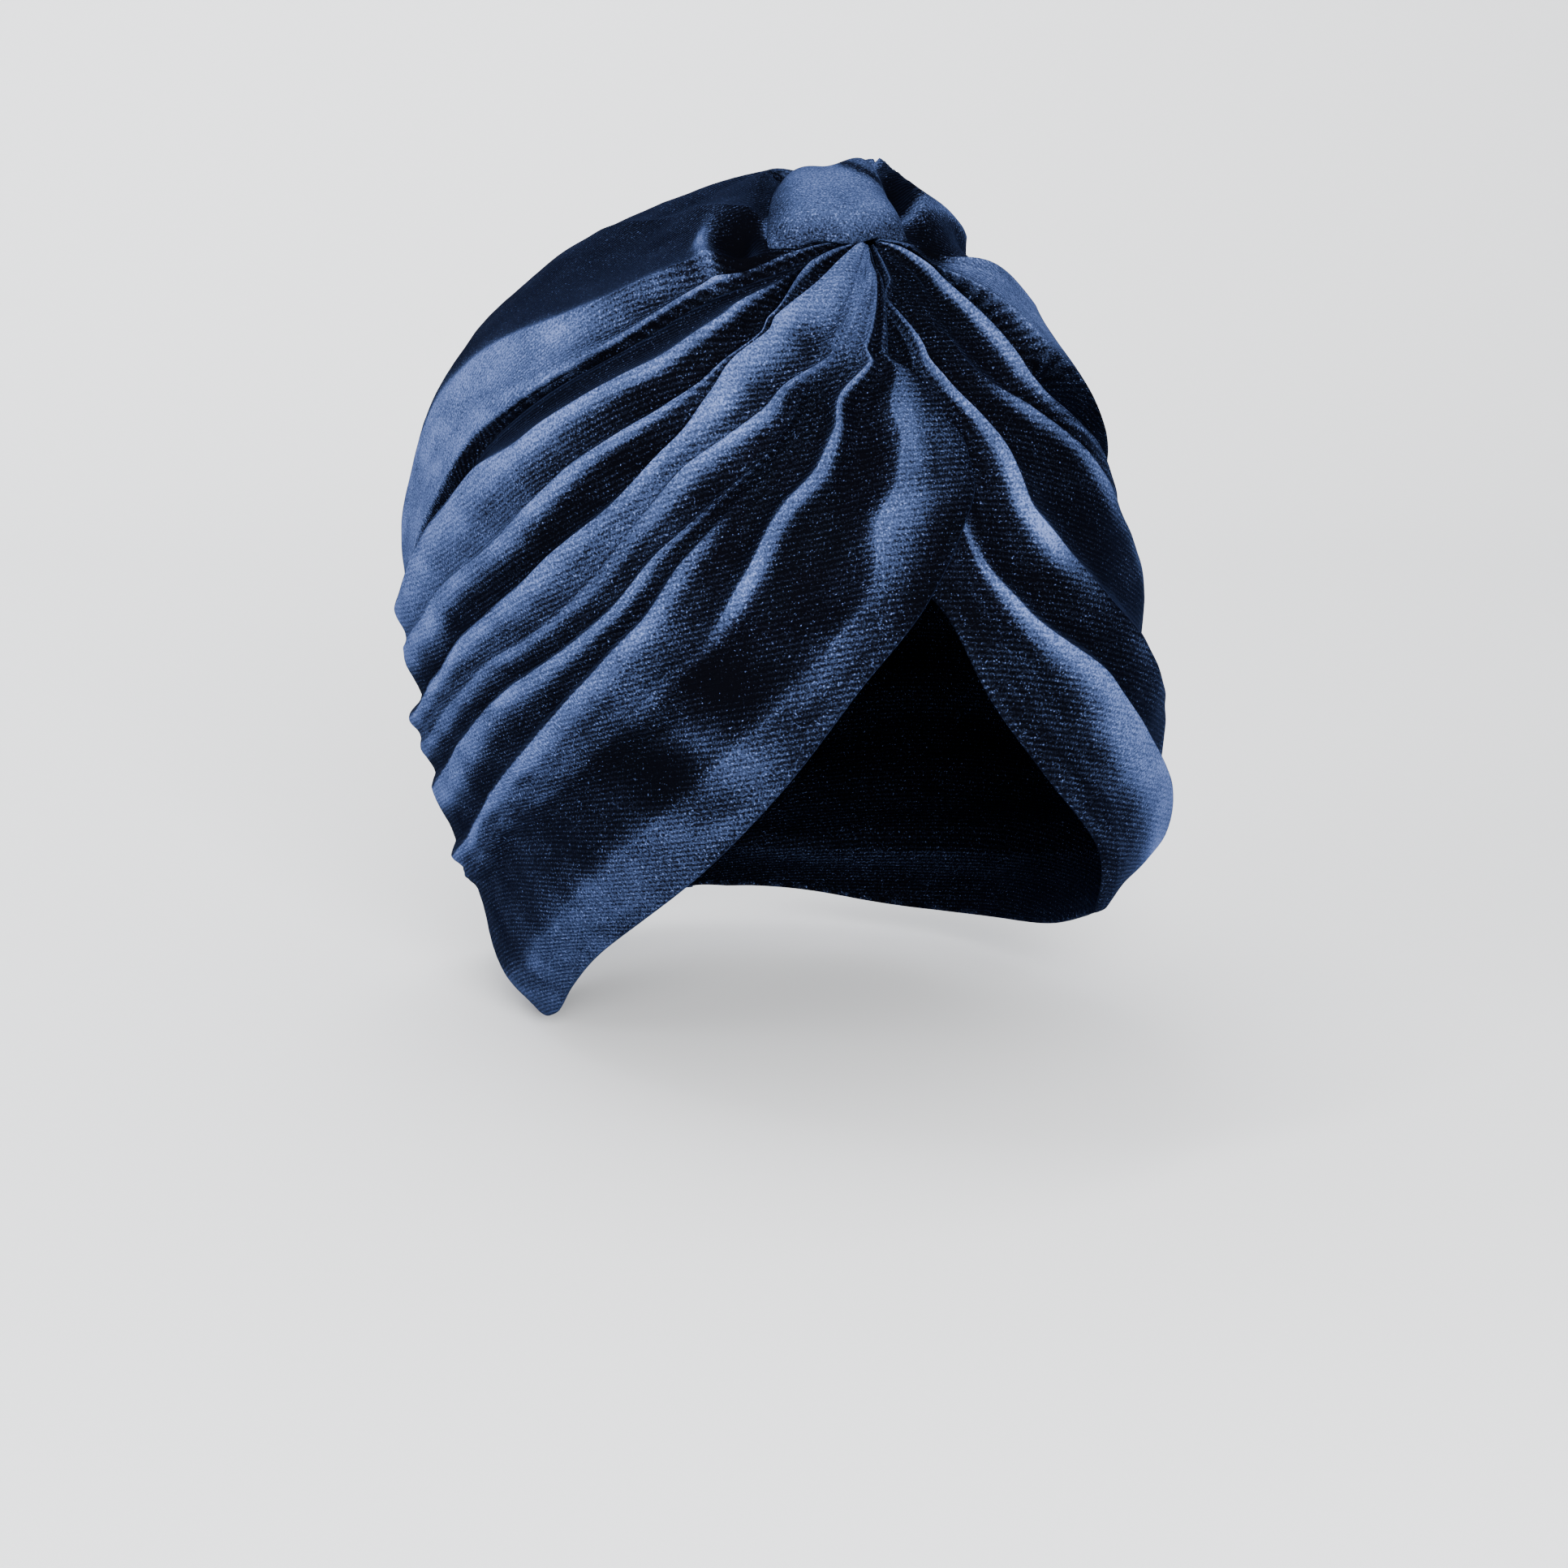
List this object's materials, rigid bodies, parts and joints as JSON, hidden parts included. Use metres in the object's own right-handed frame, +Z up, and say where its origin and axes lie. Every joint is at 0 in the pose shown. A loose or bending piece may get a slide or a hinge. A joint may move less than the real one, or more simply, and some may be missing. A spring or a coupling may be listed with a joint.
{
  "type": "turban headwrap",
  "caption": "Pre-tied stretch-velvet turban cap with pleated side wraps that cross at the front and gather in a band at the top.",
  "frame": {"origin": "the seat under the crown, where the top of a head bears against the inside of the cap", "axes": "+Z up, the front of the cap toward -Y, the wearer's left toward +X"},
  "size_m": [0.1708, 0.2165, 0.2032],
  "materials": {
    "velvet": "deep navy stretch velvet with fine ribs and a faint sparkle",
    "band_velvet": "deep navy stretch velvet, smooth"
  },
  "bodies": {
    "root": {"right_wrap": "velvet", "left_wrap": "velvet", "crown": "velvet", "knot_band": "band_velvet"}
  },
  "joints": []
}
